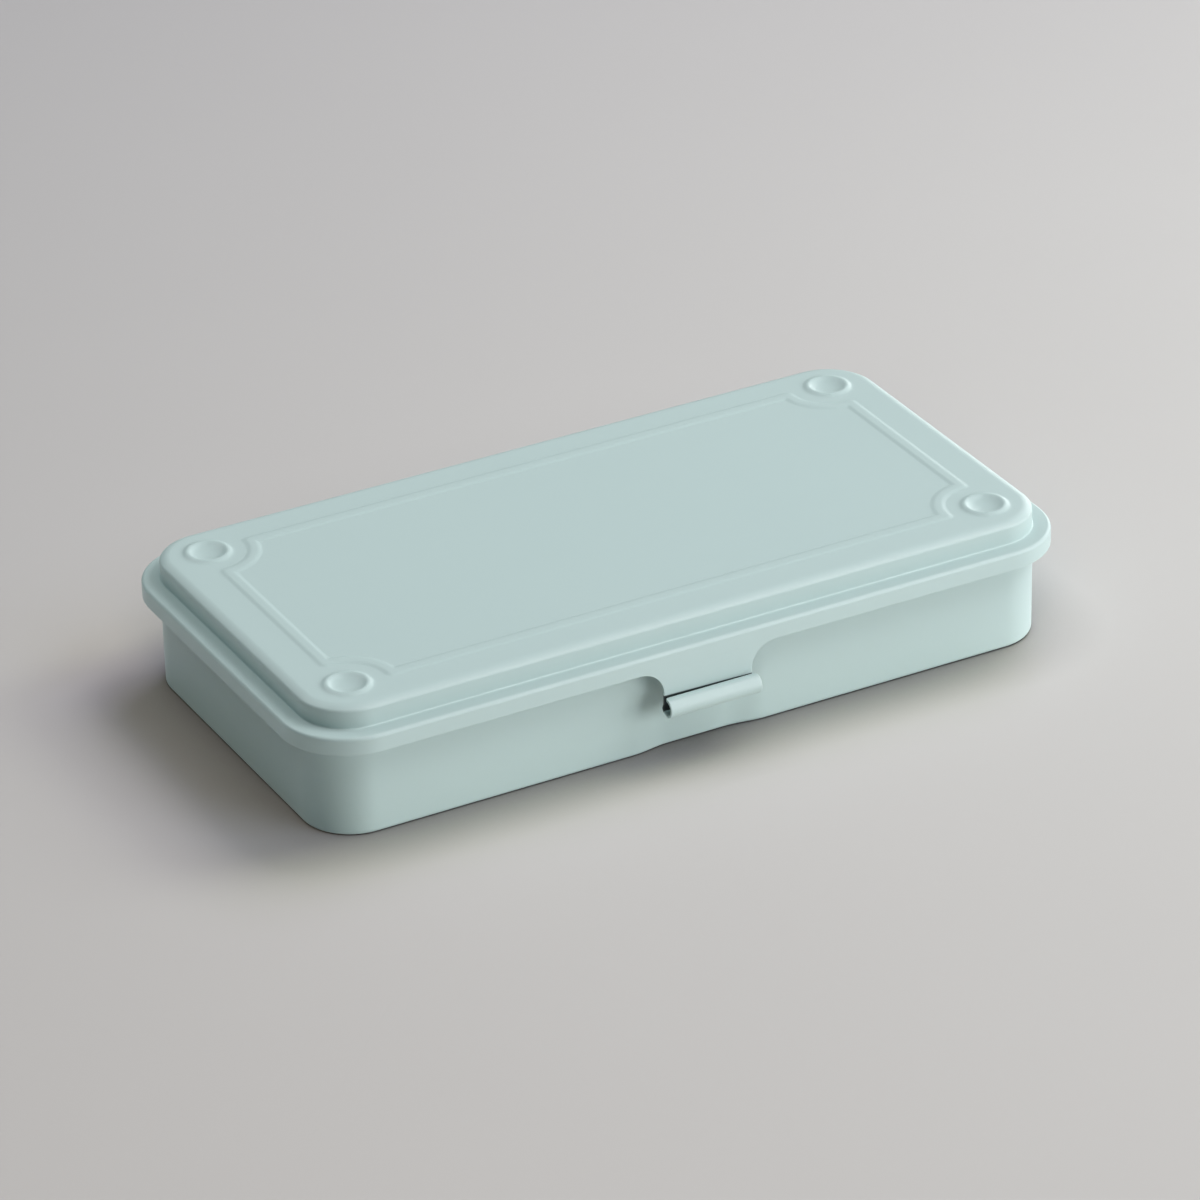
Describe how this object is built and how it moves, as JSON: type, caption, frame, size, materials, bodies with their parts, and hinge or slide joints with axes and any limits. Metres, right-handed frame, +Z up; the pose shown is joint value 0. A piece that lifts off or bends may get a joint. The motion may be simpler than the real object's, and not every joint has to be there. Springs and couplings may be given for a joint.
{
  "type": "steel storage box",
  "caption": "Flat pressed-steel storage box with a hinged lid, rolled front latch tongue, line bead and stacking bosses, for pencils, art or sewing tools.",
  "frame": {"origin": "middle of the tray's flat base, on the surface that the box stands on", "axes": "+X along the length, to the right as seen from the latch; -Y the latch side, +Y the hinges; +Z up"},
  "size_m": [0.206, 0.1112, 0.0345],
  "materials": {
    "mint_paint": "satin pale mint paint, baked on over the whole assembled box"
  },
  "bodies": {
    "tray": {"body_tray": "mint_paint", "left_hinge_body_leaf": "mint_paint", "right_hinge_body_leaf": "mint_paint", "left_hinge_pin": "mint_paint", "right_hinge_pin": "mint_paint"},
    "lid": {"lid_pressing": "mint_paint", "left_hinge_lid_leaf": "mint_paint", "right_hinge_lid_leaf": "mint_paint"},
    "latch": {"latch_tongue": "mint_paint"}
  },
  "joints": [
    {"name": "lid_hinge", "type": "hinge", "parent": "tray", "child": "lid", "pos_m": [0, 0.051, 0.0185], "axis": [-1, 0, 0], "range_deg": [0, 115]},
    {"name": "latch_flex", "type": "hinge", "parent": "lid", "child": "latch", "pos_m": [0, -0.0535, 0.0239], "axis": [-1, 0, 0], "range_deg": [0, 4], "stiffness_Nm_per_rad": 1.5}
  ]
}
